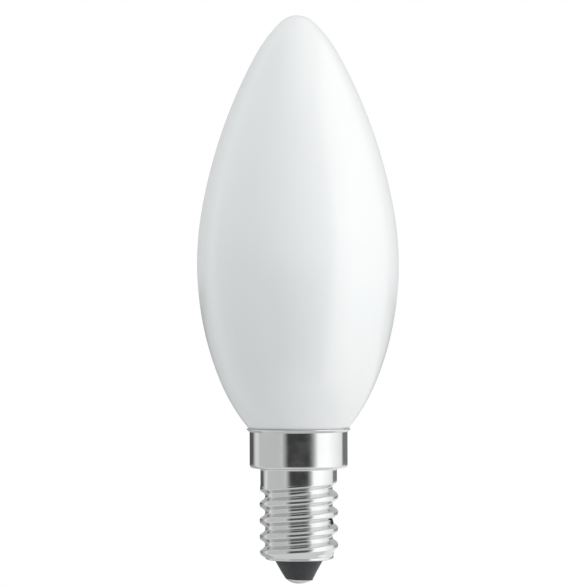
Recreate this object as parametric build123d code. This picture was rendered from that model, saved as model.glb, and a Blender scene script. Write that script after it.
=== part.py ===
from build123d import *

import os
from math import atan, atan2, ceil, cos, degrees, radians, sin, tan

# Candle bulb: white glass on a rolled metal screw cap, with an insulator and two contacts.
# Millimetres, +Z up along the axis, from the tip of the centre contact to the tip of the glass.

# Centre contact: a low dome with a shank that is held in the insulator
contact_diameter = 4.7
contact_height = 0.75
shank_diameter = 1.6
shank_length = 2.2
shank_clearance = 0.05

# Insulator: a cone below the screw shell, and a plug that rests inside the shell's end
nose_end_diameter = 4.75
nose_diameter = 8.45
nose_height = 3.4
plug_height = 3.2
plug_chamfer = 0.6
plug_clearance = 0.1

# Screw shell: right-hand thread below a plain collar, with its end rounded in
sheet = 0.25
thread_diameter = 13.6
thread_depth = 0.95
thread_pitch = 2.822
flank_angle = 45
shoulder_to_groove = 3.73
groove_angle = -30
runout_turns = 0.5
collar_diameter = 13.28
collar_height = 2.9
screw_length = 15.95
end_radius = 1.7

# Skirt: the wide cup of the same metal piece, with a lip that flares along the glass
skirt_diameter = 17.0
skirt_height = 6.85
skirt_chamfer = 0.4
lip_height = 0.6

# Weld bead that joins the side lead to the shell, in a groove of the thread
bead_diameter = 1.1
bead_sink = 0.1
bead_angle = -14
grooves_above_bead = 2

# Glass: a belly arc between the hip below it and the shoulder, nose and tip above it
glass_diameter = 35.0
lip_to_belly = 28.4
belly_to_tip = 43.25
belly_radius = 53.5
belly_arc_down = 22
belly_arc_up = 9.5
nose_radius = 24.0
tip_radius = 4.1
tip_arc = 44
throat_clearance = 0.1
band_length = 6.5

# Heights of the stack, from the contact's tip upwards
nose_z = contact_height
shell_z = nose_z + nose_height
plug_z = shell_z + sheet
shoulder_z = shell_z + screw_length
collar_z = shoulder_z - collar_height
groove_z = shoulder_z - shoulder_to_groove
seat_z = shoulder_z + sheet
lip_z = shoulder_z + skirt_height
throat_z = lip_z - lip_height
belly_z = lip_z + lip_to_belly
tip_z = belly_z + belly_to_tip

# Radii that more than one piece needs
thread_radius = thread_diameter / 2
groove_radius = thread_radius - thread_depth
bore_radius = groove_radius - sheet
hole_radius = nose_diameter / 2 + plug_clearance
skirt_bore_radius = skirt_diameter / 2 - sheet


def turned(edges):
    """Solid turned once round the axis from a closed outline of (radius, height) edges."""
    outline = Wire([Plane.XZ * edge for edge in edges])
    return Solid.revolve(Face(outline), 360, Axis.Z)


def cornered(corners):
    """Edges of a closed outline from its points, each with the radius of its corner."""
    points, radii = zip(*corners)
    return FilletPolyline(*points, radius=radii, close=True).edges()


def bands(arc):
    """Equal stretches of a long arc, none longer than the band length."""
    count = ceil(arc.length / band_length)
    return [arc.trim(band / count, (band + 1) / count) for band in range(count)]


def away(center, reach, lift):
    """Point at a distance from a center, lifted by an angle from level."""
    return center + Vector(cos(radians(lift)), sin(radians(lift))) * reach


# Glass outline below the belly: the hip arc leaves the belly arc and comes in at the throat
belly_center = Vector(glass_diameter / 2 - belly_radius, belly_z)
hip_top = away(belly_center, belly_radius, -belly_arc_down)
throat = Vector(skirt_bore_radius - throat_clearance, throat_z)
hip_chord = hip_top - throat
throat_slope = 2 * degrees(atan2(hip_chord.X, hip_chord.Y)) - belly_arc_down


def glass_envelope():
    """Blown glass, closed and filled, with its neck standing on the cap's shoulder."""
    neck_foot = Vector(throat.X, seat_z)
    tip_center = Vector(0, tip_z - tip_radius)
    tip_edge = away(tip_center, tip_radius, 90 - tip_arc)
    nose_center = away(tip_edge, -nose_radius, 90 - tip_arc)

    # The shoulder's radius follows from touching the belly arc's upper end and the nose arc
    belly_top = away(belly_center, belly_radius, belly_arc_up)
    outward = away(Vector(0, 0), 1, belly_arc_up)
    span = belly_top - nose_center
    shoulder_radius = (span.dot(span) - nose_radius**2) / (2 * (span.dot(outward) - nose_radius))
    shoulder_center = belly_top - outward * shoulder_radius
    nose_edge = nose_center + (nose_center - shoulder_center).normalized() * nose_radius

    belly = Vector(glass_diameter / 2, belly_z)
    up = Vector(0, 1)
    throat_up = Vector(sin(radians(throat_slope)), cos(radians(throat_slope)))
    belly_up = Vector(-outward.Y, outward.X)
    nose_up = Vector(shoulder_center.Y - nose_edge.Y, nose_edge.X - shoulder_center.X)
    tip_up = Vector(-cos(radians(tip_arc)), sin(radians(tip_arc)))
    arcs = [
        TangentArc(throat, hip_top, tangent=throat_up),
        TangentArc(belly, hip_top, tangent=-up),
        TangentArc(belly, belly_top, tangent=up),
        TangentArc(belly_top, nose_edge, tangent=belly_up),
        TangentArc(nose_edge, tip_edge, tangent=nose_up),
    ]
    tip = TangentArc(tip_edge, (0, tip_z), tangent=tip_up)
    lines = Polyline((0, tip_z), (0, seat_z), neck_foot, throat)
    return turned([*lines.edges(), *(band for arc in arcs for band in bands(arc)), tip])


def groove_section():
    """Section of the groove at +X, drawn to just outside the crest, and how far it rises."""
    lean = tan(radians(flank_angle))
    half_root = thread_pitch / 4 - thread_depth * lean / 2
    rise = thread_depth + half_root / lean / 2
    half_mouth = half_root + rise * lean
    outline = Polyline(
        (groove_radius, -half_root),
        (groove_radius, half_root),
        (groove_radius + rise, half_mouth),
        (groove_radius + rise, -half_mouth),
        close=True,
    )
    return Plane.XZ * make_face(outline), rise


def thread_grooves():
    """Helical groove: turn by turn down past the shell's end, and a run-out up into the collar."""
    section, rise = groove_section()
    runout_height = runout_turns * thread_pitch
    runout_cone = degrees(atan(rise / runout_height))
    runout = Helix(thread_pitch, runout_height, groove_radius, cone_angle=runout_cone)
    turn = Helix(thread_pitch, thread_pitch, groove_radius)
    turns = ceil((groove_z - shell_z) / thread_pitch + 0.5)
    place = Pos(0, 0, groove_z) * Rot(0, 0, groove_angle)
    runout_groove = place * sweep(section, path=runout, is_frenet=True)
    turn_groove = place * sweep(section, path=turn, is_frenet=True)
    return [runout_groove] + [Pos(0, 0, -thread_pitch * (k + 1)) * turn_groove for k in range(turns)]


def screw_cap():
    """Cap of one sheet: lip, skirt, shoulder, collar, threaded shell and rounded end."""
    collar_radius = collar_diameter / 2
    collar_bore_radius = collar_radius - sheet
    skirt_radius = skirt_diameter / 2
    flare = lip_height * tan(radians(throat_slope))
    corners = [
        ((hole_radius, shell_z), 0),
        ((thread_radius, shell_z), end_radius),
        ((thread_radius, collar_z), 0),
        ((collar_radius, collar_z + thread_radius - collar_radius), 0),
        ((collar_radius, shoulder_z), 0),
        ((skirt_radius - skirt_chamfer, shoulder_z), 0),
        ((skirt_radius, shoulder_z + skirt_chamfer), 0),
        ((skirt_radius, throat_z), 0),
        ((skirt_radius + flare, lip_z), 0),
        ((skirt_bore_radius + flare, lip_z), 0),
        ((skirt_bore_radius, throat_z), 0),
        ((skirt_bore_radius, seat_z), 0),
        ((collar_bore_radius, seat_z), 0),
        ((collar_bore_radius, collar_z), 0),
        ((bore_radius, collar_z), 0),
        ((bore_radius, plug_z + plug_chamfer), 0),
        ((bore_radius - plug_chamfer, plug_z), 0),
        ((hole_radius, plug_z), 0),
    ]
    cap = turned(cornered(corners))
    for groove in thread_grooves():
        cap -= groove
    return cap


def insulator():
    """Cone and plug, with a blind hole for the contact's shank."""
    plug_radius = bore_radius - plug_clearance
    plug_top = plug_z + plug_height
    shank_hole_radius = shank_diameter / 2 + shank_clearance
    shank_hole_top = nose_z + shank_length + shank_clearance
    corners = [
        ((shank_hole_radius, nose_z), 0),
        ((nose_end_diameter / 2, nose_z), 0),
        ((nose_diameter / 2, shell_z), 0),
        ((nose_diameter / 2, plug_z), 0),
        ((plug_radius - plug_chamfer, plug_z), 0),
        ((plug_radius, plug_z + plug_chamfer), 0),
        ((plug_radius, plug_top), 0),
        ((0, plug_top), 0),
        ((0, shank_hole_top), 0),
        ((shank_hole_radius, shank_hole_top), 0),
    ]
    return turned(cornered(corners))


def centre_contact():
    """Domed contact on the insulator's flat end, with its shank in the hole."""
    edge = Vector(contact_diameter / 2, contact_height)
    shank = Vector(shank_diameter / 2, contact_height + shank_length)
    dome = TangentArc((0, 0), edge, tangent=(1, 0))
    lines = Polyline(edge, (shank.X, edge.Y), shank, (0, shank.Y), (0, 0))
    return turned([dome, *lines.edges()])


def side_contact_weld(cap):
    """Bead of weld metal that fills a short stretch of the groove."""
    turns_down = grooves_above_bead - (bead_angle - groove_angle) / 360
    height = groove_z - turns_down * thread_pitch
    ball = Rot(0, 0, bead_angle) * Pos(groove_radius - bead_sink, 0, height) * Sphere(bead_diameter / 2)
    return (ball - cap).solids().sort_by_distance((0, 0, height))[-1]


os.makedirs("parts", exist_ok=True)
cap_solid = screw_cap()
nodes = {
    "glass_envelope": glass_envelope(),
    "screw_cap": cap_solid,
    "insulator": insulator(),
    "centre_contact": centre_contact(),
    "side_contact_weld": side_contact_weld(cap_solid),
}
for name, solid in nodes.items():
    export_step(solid, f"parts/{name}.step")
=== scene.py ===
from math import atan2, ceil, cos, hypot, pi, radians, sin, tan

import bmesh
import bpy
import numpy as np
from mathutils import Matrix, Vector

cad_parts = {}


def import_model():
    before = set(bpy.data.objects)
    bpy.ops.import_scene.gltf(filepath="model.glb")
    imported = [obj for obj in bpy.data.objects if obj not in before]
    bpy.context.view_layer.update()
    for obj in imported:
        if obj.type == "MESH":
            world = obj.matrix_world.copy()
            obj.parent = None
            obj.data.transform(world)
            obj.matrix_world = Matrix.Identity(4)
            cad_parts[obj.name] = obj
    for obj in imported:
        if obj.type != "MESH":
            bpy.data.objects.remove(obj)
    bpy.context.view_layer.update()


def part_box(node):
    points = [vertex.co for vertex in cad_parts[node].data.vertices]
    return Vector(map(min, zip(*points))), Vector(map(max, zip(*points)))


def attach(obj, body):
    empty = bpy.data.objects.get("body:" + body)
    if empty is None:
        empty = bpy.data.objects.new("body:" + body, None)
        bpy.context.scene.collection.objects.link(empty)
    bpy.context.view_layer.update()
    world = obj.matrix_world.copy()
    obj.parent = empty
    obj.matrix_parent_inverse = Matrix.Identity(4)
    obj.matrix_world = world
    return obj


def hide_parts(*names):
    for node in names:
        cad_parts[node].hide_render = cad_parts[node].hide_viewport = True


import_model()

# Candle bulb: opal glass, plated screw cap, insulator, centre contact and weld bead, in a white studio.
# Sizes are in millimetres and become metres where a mesh, lamp or camera is made.
MM = 0.001


def extent(node):
    """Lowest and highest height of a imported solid, and its radius."""
    low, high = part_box(node)
    return [round(value / MM, ndigits=4) for value in (low[2], high[2], high[0])]


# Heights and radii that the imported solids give
_, shank_top, contact_radius = extent("centre_contact")
nose_z, plug_top, plug_radius = extent("insulator")
shell_z, lip_z, _ = extent("screw_cap")
seat_z, tip_z, glass_radius = extent("glass_envelope")

# Contact and insulator, as in the part's source
shank_radius = 0.8
shank_clearance = 0.05
nose_end_radius = 2.375
nose_radius = 4.225
plug_chamfer = 0.6
plug_clearance = 0.1

# Cap, as in the part's source
sheet = 0.25
end_radius = 1.7
thread_radius = 6.8
thread_depth = 0.95
thread_pitch = 2.822
shoulder_to_groove = 3.73
groove_angle = radians(-30)
runout_turns = 0.5
collar_radius = 6.64
collar_height = 2.9
skirt_radius = 8.5
lip_height = 0.6

# Weld bead, as in the part's source
bead_radius = 0.55
bead_sink = 0.1
bead_angle = radians(-14)
grooves_above_bead = 2

# Arcs of the glass outline, as in the part's source
throat_clearance = 0.1
belly_to_tip = 43.25
belly_radius = 53.5
belly_arc_down = radians(22)
belly_arc_up = radians(9.5)
glass_nose_radius = 24.0
tip_radius = 4.1
tip_arc = radians(44)

# Heights and radii that follow from these
plug_z = shell_z + sheet
shoulder_z = seat_z - sheet
collar_z = shoulder_z - collar_height
groove_z = shoulder_z - shoulder_to_groove
throat_z = lip_z - lip_height
belly_z = tip_z - belly_to_tip
groove_radius = thread_radius - thread_depth
bore_radius = groove_radius - sheet
hole_radius = nose_radius + plug_clearance
collar_bore = collar_radius - sheet
skirt_bore = skirt_radius - sheet
throat_radius = skirt_bore - throat_clearance
bead_reach = groove_radius - bead_sink
bead_turns_down = grooves_above_bead - (bead_angle - groove_angle) / (2 * pi)
bead_z = groove_z - bead_turns_down * thread_pitch

# Rolled thread: steeper flanks than a plain wave's, a shallow start at the shell's end,
# and a last crest that blends into the collar from below its foot to above it
flank_share = 0.107
thread_start = 0.05
thread_start_length = 0.45
thread_start_share = 0.5
thread_full_rise = 5.2
blend_below = 1.4
blend_above = 0.2
blend_rows = 16
plain_above = 0.4

# Rounded edges of the cap and the cone
shoulder_fillet = 0.4
skirt_corner = 0.6
edge_round = 0.12

# Slight tilt of the insulator's end, which fades out above it
end_tilt = -0.06
end_blend = 1.2

# Waves round the solder's edge: their count, share and phase, and how fast they die out inwards
solder_waves = [(3, 0.02, 0.8), (7, 0.012, 2.1)]
solder_power = 4

# Bead: narrower than a ball, tapered towards its top, with lumps and ripples
bead_width = 0.7
bead_taper = 0.5
bead_lump = 0.05
bead_ripple = 0.03

# Meshes: columns round the axis, rows in a turn of the thread, steps between rows, the angle of a
# sharp edge, and the radius below which a point is on the axis
glass_columns = 256
cap_columns = 240
end_columns = 128
rows_per_turn = 36
plain_step = 0.35
hidden_step = 3.0
sharp_angle = radians(40)
axis_radius = 1e-6

# Photograph: its size in pixels, scale on the bulb's axis, where the axis and the contact's tip lie,
# and the camera's distance, roll and sensor
frame_px = 587
px_per_mm = 5.763
axis_px = 298.05
contact_px = 583.6
camera_distance = 650.0
camera_roll = 0.0035
sensor_width = 36.0

# Studio: a ring of cards that reflections show, closed by lids, with more cards inside it,
# the ring's glow in front of the bulb, and the height that the lamps face
studio_radius = 520
studio_top = 650
studio_foot = -450
flag_radius = 500
low_card_radius = 510
lid_sides = 48
ring_front = 0.6
lamp_aim = 50

# Floor: a disc of paper below the bulb that fades to white
floor_z = -13
floor_radius = 100
floor_sides = 96
floor_fade_start = 20
floor_fade_end = 97


def smooth(share):
    """Share held between 0 and 1, and eased at both ends."""
    share = min(1.0, max(0.0, share))
    return share * share * (3 - 2 * share)


def outward(lift):
    """Direction in a section that is lifted by an angle from level."""
    return np.array((cos(lift), sin(lift)))


def arc(center, radius, start, end, step=plain_step):
    """Points on an arc from one lift angle to another, no further apart than a step."""
    count = max(3, ceil(abs(end - start) * radius / step))
    lifts = np.linspace(start, end, count + 1)
    return [tuple(center + radius * outward(lift)) for lift in lifts]


def straight(start, end, step=plain_step):
    """Points on a line, no further apart than a step."""
    count = max(1, ceil(hypot(end[0] - start[0], end[1] - start[1]) / step))
    return [tuple(np.array(start) + (np.array(end) - start) * k / count) for k in range(count + 1)]


def joined(*runs):
    """One list of points from runs that meet end to end."""
    points = list(runs[0])
    for run in runs[1:]:
        points += run[1:]
    return points


def linked(name, data):
    """Object of a mesh, lamp or camera, in the scene."""
    piece = bpy.data.objects.new(name, data)
    bpy.context.collection.objects.link(piece)
    return piece


def lathe(name, points, columns, closed=False, shape=None, run=None):
    """Smooth mesh turned from (radius, height) points; shape moves a point at an angle.

    A run of points from one ring to the next is filled with rows that follow the thread's helix.
    """
    angles = [2 * pi * column / columns for column in range(columns)]
    vertices, faces = [], []

    def vertex(radius, height, angle):
        """Index of a new vertex, where the shape moves it."""
        r, z = shape(radius, height, angle) if shape else (radius, height)
        vertices.append((r * cos(angle) * MM, r * sin(angle) * MM, z * MM))
        return len(vertices) - 1

    def ring(radius, height):
        """Vertices round the axis and back to the first, or one vertex over and over on the axis."""
        if radius < axis_radius:
            return [vertex(radius, height, 0)] * (columns + 1)
        turned = [vertex(radius, height, angle) for angle in angles]
        return turned + turned[:1]

    def helix_rows(low, high):
        """Rows that climb one pitch a turn, cut off at two rings; each ends where a later one starts."""
        lengths = np.cumsum([0] + [hypot(b[0] - a[0], b[1] - a[1]) for a, b in zip(run, run[1:])])
        radii, heights = zip(*run)
        step = thread_pitch / rows_per_turn
        too_near = step / 20
        rows = [low[:-1]]
        for k in range(1 - rows_per_turn, ceil(lengths[-1] / step) + 1):
            row = []
            for column, angle in enumerate(angles):
                along = k * step + thread_pitch * column / columns
                if along < too_near:
                    row.append(low[column])
                elif along > lengths[-1] - too_near:
                    row.append(high[column])
                else:
                    radius = np.interp(along, lengths, radii)
                    height = np.interp(along, lengths, heights)
                    row.append(vertex(radius, height, angle))
            rows.append(row)
        starts = [row[0] for row in rows] + [high[0]] * (rows_per_turn + 1)
        return [row + [starts[k + rows_per_turn]] for k, row in enumerate(rows)]

    rings = [ring(radius, height) for radius, height in points]
    pairs = list(zip(rings, rings[1:]))
    if closed:
        pairs.append((rings[-1], rings[0]))
    if run:
        rows = helix_rows(*pairs.pop(points.index(run[0])))
        pairs += zip(rows, rows[1:])
    for low, high in pairs:
        for k in range(columns):
            corners = tuple(dict.fromkeys((low[k], low[k + 1], high[k + 1], high[k])))
            if len(corners) > 2:
                faces.append(corners)
    mesh = bpy.data.meshes.new(name)
    mesh.from_pydata(vertices, [], faces)
    mesh.validate()
    mesh.shade_smooth()
    mesh.set_sharp_from_angle(angle=sharp_angle)
    return linked(name, mesh)


def glass_outline():
    """Foot, neck, hip, belly, shoulder, nose and tip of the glass, and the hip's slope at the throat."""
    belly_center = np.array((glass_radius - belly_radius, belly_z))
    hip_top = belly_center + belly_radius * outward(-belly_arc_down)
    chord = hip_top - np.array((throat_radius, throat_z))
    slope = 2 * atan2(chord[0], chord[1]) - belly_arc_down
    hip_radius = hypot(*chord) / (2 * sin((slope - belly_arc_down) / 2))
    hip_center = hip_top - hip_radius * outward(-belly_arc_down)

    # The shoulder's radius follows from touching the belly arc's upper end and the nose arc
    tip_lift = pi / 2 - tip_arc
    tip_center = np.array((0, tip_z - tip_radius))
    nose_center = tip_center + (tip_radius - glass_nose_radius) * outward(tip_lift)
    belly_out = outward(belly_arc_up)
    belly_top = belly_center + belly_radius * belly_out
    span = belly_top - nose_center
    shoulder = (span @ span - glass_nose_radius**2) / (2 * (span @ belly_out - glass_nose_radius))
    shoulder_center = belly_top - shoulder * belly_out
    nose_lift = atan2(*(nose_center - shoulder_center)[::-1])
    return joined(
        straight((0, seat_z), (throat_radius, seat_z), step=throat_radius),
        straight((throat_radius, seat_z), (throat_radius, throat_z), step=1.0),
        arc(hip_center, hip_radius, -slope, -belly_arc_down),
        arc(belly_center, belly_radius, -belly_arc_down, belly_arc_up),
        arc(shoulder_center, shoulder, belly_arc_up, nose_lift),
        arc(nose_center, glass_nose_radius, nose_lift, tip_lift),
        arc(tip_center, tip_radius, tip_lift, pi / 2),
    ), slope


def shell_run():
    """Outside of the screw shell, from its rounded end up to the collar, without the groove."""
    end_center = (thread_radius - end_radius, shell_z + end_radius)
    low, high = collar_z - blend_below, collar_z + blend_above
    shares = np.linspace(0, 1, blend_rows + 1)
    inset = collar_radius - thread_radius
    return joined(
        arc(end_center, end_radius, -pi / 2, 0, step=0.08),
        straight((thread_radius, end_center[1]), (thread_radius, low)),
        [(thread_radius + inset * smooth(share), low + (high - low) * share) for share in shares],
        straight((collar_radius, high), (collar_radius, high + plain_above)),
    )


def cap_outline(slope, run):
    """Closed section of the cap: up the outside from the hole to the lip, and down the inside."""
    flare = lip_height * tan(slope)
    neck = (collar_radius + shoulder_fillet, shoulder_z - shoulder_fillet)
    corner = (skirt_radius - skirt_corner, shoulder_z + skirt_corner)
    rim = (skirt_radius + flare - edge_round, lip_z - edge_round)
    rim_start = tuple(rim + edge_round * outward(-slope))
    inside = [
        (skirt_bore, throat_z),
        (skirt_bore, seat_z),
        (collar_bore, seat_z),
        (collar_bore, collar_z),
        (bore_radius, collar_z),
        (bore_radius, plug_z + plug_chamfer),
        (bore_radius - plug_chamfer, plug_z),
        (hole_radius, plug_z),
    ]
    return joined(
        straight((hole_radius, shell_z), run[0], step=0.2)[:-1] + [run[0]],
        [run[0], run[-1]],
        straight(run[-1], (collar_radius, neck[1]), step=0.2),
        arc(neck, shoulder_fillet, pi, pi / 2, step=0.08),
        straight((neck[0], shoulder_z), (corner[0], shoulder_z), step=0.3),
        arc(corner, skirt_corner, -pi / 2, 0, step=0.08),
        straight((skirt_radius, corner[1]), (skirt_radius, throat_z), step=0.5),
        straight((skirt_radius, throat_z), rim_start, step=0.15),
        arc(rim, edge_round, -slope, pi / 2, step=0.04),
        straight((rim[0], lip_z), (skirt_bore + flare, lip_z), step=0.1),
        straight((skirt_bore + flare, lip_z), inside[0], step=0.3),
        *(straight(start, end, step=hidden_step) for start, end in zip(inside, inside[1:])),
    )


def thread(radius, height, angle):
    """Presses the round groove into the shell, fades it into the collar and eases it at the end."""
    margin = sheet / 5
    inner_wall = collar_bore if height > collar_z + margin else bore_radius
    if radius < inner_wall + margin or height > shoulder_z:
        return radius, height
    along = ((angle - groove_angle) / (2 * pi)) % 1.0
    below = (groove_z + along * thread_pitch - height) / thread_pitch
    turn = round(below)
    fade = smooth(1 - max(0.0, along - turn) / runout_turns) if turn >= 0 else 0.0
    rise = height - shell_z
    start = smooth((rise - thread_start) / thread_start_length)
    ease = start * min(1.0, thread_start_share + rise / thread_full_rise)
    phase = 2 * pi * (below - turn)
    wave = (1 + (1 + flank_share) * cos(phase) - flank_share * cos(3 * phase)) / 2
    return radius - thread_depth * fade * ease * wave, height


def insulator_outline():
    """Section of the cone and plug, from the top of the contact's hole to the top of the plug."""
    hole = (shank_radius + shank_clearance, shank_top + shank_clearance)
    lean = atan2(nose_radius - nose_end_radius, shell_z - nose_z)
    end = (nose_end_radius - edge_round, nose_z + edge_round)
    flank = tuple(end + edge_round * outward(-lean))
    return joined(
        straight((0, hole[1]), hole, step=1.0),
        straight(hole, (hole[0], nose_z), step=0.5),
        straight((hole[0], nose_z), (end[0], nose_z), step=0.2),
        arc(end, edge_round, -pi / 2, -lean, step=0.03),
        straight(flank, (nose_radius, shell_z), step=0.15),
        straight((nose_radius, shell_z), (nose_radius, plug_z), step=0.2),
        straight((nose_radius, plug_z), (plug_radius - plug_chamfer, plug_z), step=0.5),
        straight((plug_radius - plug_chamfer, plug_z), (plug_radius, plug_z + plug_chamfer), step=1.0),
        straight((plug_radius, plug_z + plug_chamfer), (plug_radius, plug_top), step=hidden_step),
        straight((plug_radius, plug_top), (0, plug_top), step=plug_radius),
    )


def contact_outline():
    """Dome, flat seat and shank of the centre contact."""
    dome = (contact_radius**2 + nose_z**2) / (2 * nose_z)
    sweep = atan2(contact_radius, dome - nose_z)
    return joined(
        arc((0, dome), dome, -pi / 2, sweep - pi / 2, step=0.06),
        straight((contact_radius, nose_z), (shank_radius, nose_z), step=0.3),
        straight((shank_radius, nose_z), (shank_radius, shank_top), step=0.6),
        straight((shank_radius, shank_top), (0, shank_top), step=0.4),
    )


def tilted(radius, height, angle):
    """Tilts the plane between insulator and contact a little, and leaves what lies far from it."""
    reach = nose_z if height < nose_z else end_blend
    near = max(0.0, 1 - abs(height - nose_z) / reach)
    return radius, height + end_tilt * radius * cos(angle) * near


def puddled(radius, height, angle):
    """Tilted contact whose solder has an uneven edge."""
    swell = sum(share * sin(count * angle + phase) for count, share, phase in solder_waves)
    edge = min(1.0, radius / contact_radius) ** solder_power if height <= nose_z else 0.0
    radius, height = tilted(radius, height, angle)
    return radius * (1 + swell * edge), height


def bead(name):
    """Lumpy bead of weld metal, sunk in the groove and narrower towards its top."""
    mesh = bpy.data.meshes.new(name)
    ball = bmesh.new()
    bmesh.ops.create_icosphere(ball, subdivisions=4, radius=1.0)
    away = Vector((cos(bead_angle), sin(bead_angle), 0))
    across = Vector((-sin(bead_angle), cos(bead_angle), 0))
    up = Vector((0, 0, 1))
    for vertex in ball.verts:
        x, y, z = vertex.co
        lump = 1 + bead_lump * sin(4 * x + 1) * cos(5 * z) + bead_ripple * sin(9 * y + 4 * z)
        slim = 1 - bead_taper * (1 + z) / 2
        bulge = away * x * slim + across * y * slim * bead_width + up * z
        vertex.co = (away * bead_reach + up * bead_z + bulge * bead_radius * lump) * MM
    ball.to_mesh(mesh)
    ball.free()
    mesh.shade_smooth()
    return linked(name, mesh)


def mixed(tree, share, first, second):
    """Shader that runs from one shader to another by a share."""
    mix = tree.nodes.new("ShaderNodeMixShader")
    for source, socket in zip((share, first, second), mix.inputs):
        tree.links.new(source, socket)
    return mix.outputs[0]


class Paint:
    """Principled material with procedural detail laid in the bulb's own space."""

    def __init__(self, name, color, roughness, metallic=0.0):
        self.mat = bpy.data.materials.new(name)
        self.mat.use_nodes = True
        self.tree = self.mat.node_tree
        self.shader = self.tree.nodes["Principled BSDF"]
        self.shader.inputs["Base Color"].default_value = (*color, 1)
        self.shader.inputs["Roughness"].default_value = roughness
        self.shader.inputs["Metallic"].default_value = metallic
        self.place = self.tree.nodes.new("ShaderNodeTexCoord").outputs["Object"]
        self.normal = None

    def noise(self, scale, detail=3.0):
        """Noise with a count of features a metre along X, Y and Z."""
        stretch = self.tree.nodes.new("ShaderNodeMapping")
        stretch.inputs["Scale"].default_value = scale
        self.tree.links.new(self.place, stretch.inputs["Vector"])
        grain = self.tree.nodes.new("ShaderNodeTexNoise")
        grain.inputs["Scale"].default_value = 1.0
        grain.inputs["Detail"].default_value = detail
        self.tree.links.new(stretch.outputs["Vector"], grain.inputs["Vector"])
        return grain.outputs["Fac"]

    def rough(self, source, low, high, start=0.3, end=0.7):
        """Roughness that wanders between two values."""
        spread = self.tree.nodes.new("ShaderNodeMapRange")
        spread.inputs["From Min"].default_value = start
        spread.inputs["From Max"].default_value = end
        spread.inputs["To Min"].default_value = low
        spread.inputs["To Max"].default_value = high
        self.tree.links.new(source, spread.inputs["Value"])
        self.tree.links.new(spread.outputs["Result"], self.shader.inputs["Roughness"])

    def tint(self, source, first, second, start=0.35, end=0.65):
        """Base colour that wanders between two colours."""
        ramp = self.tree.nodes.new("ShaderNodeValToRGB")
        ramp.color_ramp.elements[0].position = start
        ramp.color_ramp.elements[0].color = (*first, 1)
        ramp.color_ramp.elements[1].position = end
        ramp.color_ramp.elements[1].color = (*second, 1)
        self.tree.links.new(source, ramp.inputs["Fac"])
        self.tree.links.new(ramp.outputs["Color"], self.shader.inputs["Base Color"])

    def bump(self, source, depth):
        """Relief of a depth in millimetres, on top of what is there."""
        relief = self.tree.nodes.new("ShaderNodeBump")
        relief.inputs["Distance"].default_value = depth * MM
        self.tree.links.new(source, relief.inputs["Height"])
        if self.normal:
            self.tree.links.new(self.normal, relief.inputs["Normal"])
        self.normal = relief.outputs["Normal"]
        self.tree.links.new(self.normal, self.shader.inputs["Normal"])


def opal_glass():
    """Satin white glass: faint clouds, an uneven gloss and slow waves from blowing."""
    paint = Paint("opal_glass", (0.88, 0.88, 0.88), roughness=0.2)
    clouds = paint.noise((45, 45, 30), detail=1.0)
    paint.tint(clouds, (0.868, 0.872, 0.872), (0.892, 0.89, 0.888))
    paint.shader.inputs["Specular IOR Level"].default_value = 0.8
    paint.rough(paint.noise((120, 120, 80), detail=1.0), low=0.17, high=0.23)
    paint.bump(clouds, depth=0.05)
    return paint.mat


def plated_cap():
    """Bright plated sheet: rolling lines round it, drawing streaks along it, and soft smudges."""
    paint = Paint("plated_cap", (0.732, 0.74, 0.742), roughness=0.12, metallic=1.0)
    smudges = paint.noise((160, 160, 160))
    paint.tint(smudges, (0.712, 0.72, 0.722), (0.747, 0.755, 0.757))
    paint.rough(paint.noise((420, 420, 420), detail=5.0), low=0.07, high=0.17)
    paint.bump(smudges, depth=0.008)
    paint.bump(paint.noise((70, 70, 5200), detail=2.0), depth=0.0005)
    paint.bump(paint.noise((2400, 2400, 90), detail=2.0), depth=0.0008)
    return paint.mat


def dark_insulator():
    """Dull charcoal moulding with a fine grain."""
    paint = Paint("dark_insulator", (0.028, 0.031, 0.035), roughness=0.5)
    paint.tint(paint.noise((500, 500, 500)), (0.025, 0.028, 0.032), (0.031, 0.034, 0.038))
    paint.rough(paint.noise((900, 900, 900)), low=0.42, high=0.58)
    paint.bump(paint.noise((1500, 1500, 1500)), depth=0.008)
    return paint.mat


def contact_metal():
    """Satin solder with low dimples."""
    paint = Paint("contact_metal", (0.68, 0.68, 0.68), roughness=0.32, metallic=1.0)
    paint.tint(paint.noise((700, 700, 700)), (0.62, 0.62, 0.62), (0.74, 0.74, 0.74))
    paint.rough(paint.noise((1200, 1200, 1200)), low=0.25, high=0.42)
    paint.bump(paint.noise((800, 800, 800)), depth=0.03)
    return paint.mat


def weld_metal():
    """Scorched weld bead, rough and nearly black."""
    paint = Paint("weld_metal", (0.02, 0.019, 0.018), roughness=0.6)
    paint.tint(paint.noise((2500, 2500, 2500)), (0.014, 0.013, 0.012), (0.032, 0.03, 0.028))
    paint.rough(paint.noise((3000, 3000, 3000)), low=0.5, high=0.75)
    paint.bump(paint.noise((3200, 3200, 3200)), depth=0.03)
    return paint.mat


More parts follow.
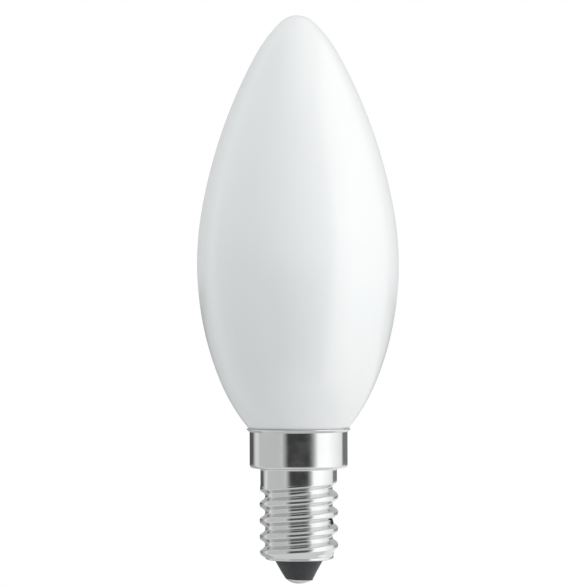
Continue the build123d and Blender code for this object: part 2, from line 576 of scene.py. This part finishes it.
def floor_paper():
    """Pale paper with a faint tooth: lighter to the camera, white towards its edge, clear from below."""
    paint = Paint("floor", (0.76, 0.76, 0.76), roughness=0.8)
    paint.rough(paint.noise((300, 300, 300)), low=0.75, high=0.85)
    paint.bump(paint.noise((900, 900, 900)), depth=0.02)
    nodes, links = paint.tree.nodes, paint.tree.links
    pale = nodes.new("ShaderNodeBsdfDiffuse")
    pale.inputs["Color"].default_value = (0.95, 0.95, 0.95, 1)
    white = nodes.new("ShaderNodeEmission")
    white.inputs["Color"].default_value = (1, 1, 1, 1)
    white.inputs["Strength"].default_value = 1.0
    clear = nodes.new("ShaderNodeBsdfTransparent")
    reach = nodes.new("ShaderNodeVectorMath")
    reach.operation = "LENGTH"
    links.new(paint.place, reach.inputs[0])
    edge = nodes.new("ShaderNodeMapRange")
    edge.interpolation_type = "SMOOTHSTEP"
    edge.inputs["From Min"].default_value = floor_fade_start * MM
    edge.inputs["From Max"].default_value = floor_fade_end * MM
    links.new(reach.outputs["Value"], edge.inputs["Value"])
    seen = nodes.new("ShaderNodeLightPath").outputs["Is Camera Ray"]
    below = nodes.new("ShaderNodeNewGeometry").outputs["Backfacing"]
    faded = mixed(paint.tree, edge.outputs["Result"], pale.outputs[0], white.outputs[0])
    above = mixed(paint.tree, seen, paint.shader.outputs[0], faded)
    surface = mixed(paint.tree, below, above, clear.outputs[0])
    links.new(surface, nodes["Material Output"].inputs["Surface"])
    return paint.mat


def paper_floor():
    """Disc of paper below the bulb that reflections don't show."""
    bpy.ops.mesh.primitive_circle_add(
        vertices=floor_sides,
        radius=floor_radius * MM,
        fill_type="NGON",
        location=(0, 0, floor_z * MM),
    )
    floor = bpy.context.object
    floor.name = "floor"
    floor.data.materials.append(floor_paper())
    floor.visible_glossy = False


def stage_card(name, vertices, faces, glow):
    """Studio card that only reflections show, with a glow at each vertex."""
    mesh = bpy.data.meshes.new(name)
    mesh.from_pydata(vertices, [], faces)
    colors = mesh.color_attributes.new("glow", "FLOAT_COLOR", "POINT")
    colors.data.foreach_set("color", np.stack([glow, glow, glow, np.ones(len(glow))], 1).ravel())
    mat = bpy.data.materials.new(name)
    mat.use_nodes = True
    nodes, links = mat.node_tree.nodes, mat.node_tree.links
    nodes.clear()
    color = nodes.new("ShaderNodeVertexColor")
    color.layer_name = "glow"
    emission = nodes.new("ShaderNodeEmission")
    output = nodes.new("ShaderNodeOutputMaterial")
    links.new(color.outputs["Color"], emission.inputs["Color"])
    links.new(emission.outputs[0], output.inputs["Surface"])
    mat.cycles.emission_sampling = "NONE"
    mesh.materials.append(mat)
    piece = linked(name, mesh)
    piece.visible_camera = False
    piece.visible_diffuse = False
    piece.visible_shadow = False


def card(name, radius, heights, stops):
    """Curved upright studio card with a glow that runs between stops of (azimuth, radiance).

    Azimuths are in degrees from the camera's side towards the right. Each height comes with a
    share, by which the glow there runs over to the ring's in front.
    """
    first, last = stops[0][0], stops[-1][0]
    azimuths = np.linspace(first, last, ceil(last - first) + 1)
    turns = np.radians(azimuths)
    levels, shares = np.array(heights).T
    glow = np.interp(azimuths, *zip(*stops))[:, None]
    glow = glow + (ring_front - glow) * shares
    rows = len(levels)
    vertices = [(radius * sin(t) * MM, -radius * cos(t) * MM, z * MM) for t in turns for z in levels]
    corners = [rows * column + row for column in range(len(turns) - 1) for row in range(rows - 1)]
    faces = [(k, k + rows, k + rows + 1, k + 1) for k in corners]
    stage_card(name, vertices, faces, glow.ravel())


def lid(name, height, radiance):
    """Level studio card above or below the bulb."""
    turns = [2 * pi * k / lid_sides for k in range(lid_sides)]
    vertices = [(studio_radius * cos(t) * MM, studio_radius * sin(t) * MM, height * MM) for t in turns]
    stage_card(name, vertices, [tuple(range(lid_sides))], np.full(lid_sides, radiance))


def panel(name, azimuth, lift, distance, width, height, radiance, color=(1, 1, 1)):
    """Soft rectangular lamp that faces the bulb's middle and that reflections don't show."""
    lamp = bpy.data.lights.new(name, "AREA")
    lamp.shape = "RECTANGLE"
    lamp.size = width * MM
    lamp.size_y = height * MM
    lamp.energy = radiance * pi * lamp.size * lamp.size_y
    lamp.color = color
    piece = linked(name, lamp)
    azimuth, lift = radians(azimuth), radians(lift)
    away = Vector((cos(lift) * sin(azimuth), -cos(lift) * cos(azimuth), sin(lift)))
    piece.location = Vector((0, 0, lamp_aim * MM)) + away * distance * MM
    piece.rotation_euler = (-away).to_track_quat("-Z", "Y").to_euler()
    piece.visible_camera = False
    piece.visible_glossy = False


def world(fill_color, fill_strength):
    """White to the camera and in reflections, and a soft fill on the bulb."""
    scene_world = bpy.data.worlds.new("studio")
    bpy.context.scene.world = scene_world
    scene_world.use_nodes = True
    nodes, links = scene_world.node_tree.nodes, scene_world.node_tree.links
    nodes.clear()
    path = nodes.new("ShaderNodeLightPath")
    seen = path.outputs["Is Camera Ray"]
    for ray in ("Is Glossy Ray", "Is Transmission Ray"):
        either = nodes.new("ShaderNodeMath")
        either.operation = "MAXIMUM"
        links.new(seen, either.inputs[0])
        links.new(path.outputs[ray], either.inputs[1])
        seen = either.outputs[0]
    fill = nodes.new("ShaderNodeBackground")
    fill.inputs["Color"].default_value = (*fill_color, 1)
    fill.inputs["Strength"].default_value = fill_strength
    white = nodes.new("ShaderNodeBackground")
    white.inputs["Color"].default_value = (1, 1, 1, 1)
    white.inputs["Strength"].default_value = 1.0
    surface = mixed(scene_world.node_tree, seen, fill.outputs[0], white.outputs[0])
    output = nodes.new("ShaderNodeOutputWorld")
    links.new(surface, output.inputs["Surface"])


def camera():
    """Level camera at the photograph's distance, framed on its scale."""
    data = bpy.data.cameras.new("camera")
    piece = linked("camera", data)
    data.sensor_width = sensor_width
    data.lens = sensor_width * camera_distance * px_per_mm / frame_px
    x = (frame_px / 2 - axis_px) / px_per_mm
    z = (contact_px - frame_px / 2) / px_per_mm
    piece.location = (x * MM, -camera_distance * MM, z * MM)
    piece.rotation_euler = (pi / 2, camera_roll, 0)
    bpy.context.scene.camera = piece


def place(piece, node, mat):
    """Rides a piece on the bulb in place of its solid, with its material."""
    piece.data.materials.clear()
    piece.data.materials.append(mat)
    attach(piece, "root")
    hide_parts(node)


# The bulb
outline, slope = glass_outline()
glass = lathe("glass_bulb", outline, glass_columns)
place(glass, "glass_envelope", opal_glass())

run = shell_run()
cap = lathe("cap", cap_outline(slope, run), cap_columns, closed=True, shape=thread, run=run)
place(cap, "screw_cap", plated_cap())

cone = lathe("cone", insulator_outline(), end_columns, shape=tilted)
place(cone, "insulator", dark_insulator())

contact = lathe("end_contact", contact_outline(), end_columns, shape=puddled)
place(contact, "centre_contact", contact_metal())

place(bead("weld_bead"), "side_contact_weld", weld_metal())

# The studio, with a ring that cap and glass mirror: grey on the left, white on the right, dim behind
paper_floor()
card(
    "studio_ring",
    radius=studio_radius,
    heights=[(studio_foot, 0), (studio_top, 0)],
    stops=[
        (-180, 0.5), (-126, 0.5), (-121, 0.83), (-109, 0.83), (-105, 0.645), (-46, 0.645),
        (-43, 0.7), (-39, 0.68), (-30, ring_front), (30, ring_front), (37, 0.55), (47, 1.3),
        (71, 1.35), (112, 1.04), (122, 0.95), (127, 0.58), (180, 0.55),
    ],
)
lid("ceiling", height=studio_top, radiance=0.65)
lid("ground", height=studio_foot, radiance=0.76)

# Dark strip down the middle of the cap, and dark lines at its sides
card(
    "flag_front",
    radius=flag_radius,
    heights=[(-440, 1), (-280, 0.12), (-50, 0.12), (-20, 0), (24, 0), (60, 1)],
    stops=[(-39, 0.68), (-25, 0.07), (-20, 0.05), (20, 0.05), (27, 0.11), (37, 0.5)],
)
card(
    "flag_back_left",
    radius=flag_radius,
    heights=[(-110, 0.5), (-18, 0.5), (-9, 0), (25, 0), (50, 1)],
    stops=[(-175, 0.1), (-136, 0.105), (-121, 0.8)],
)
card(
    "flag_back_right",
    radius=flag_radius,
    heights=[(-70, 0.6), (-16, 0.6), (-8, 0), (15, 0), (40, 1)],
    stops=[(122, 0.95), (127, 0.2), (175, 0.2)],
)

# Light edge low on the glass, at its right
card(
    "low_back_right",
    radius=low_card_radius,
    heights=[(-440, 0), (-75, 0)],
    stops=[(115, 1.0), (130, 0.95), (175, 0.9)],
)

# Lamps and fill, a little cool on the left and behind
cool = (0.95, 0.99, 1.0)
panel("key_right", azimuth=58, lift=-17, distance=420, width=320, height=700, radiance=2.2)
panel("fill_left", azimuth=-95, lift=-5, distance=420, width=300, height=700, radiance=1.0, color=cool)
panel("top", azimuth=0, lift=70, distance=500, width=400, height=400, radiance=2.1)
panel(
    "back",
    azimuth=180, lift=25, distance=450, width=500, height=600, radiance=0.7,
    color=(0.96, 0.99, 1.0),
)
world(fill_color=cool, fill_strength=0.48)
camera()
bpy.context.scene.view_settings.view_transform = "Standard"
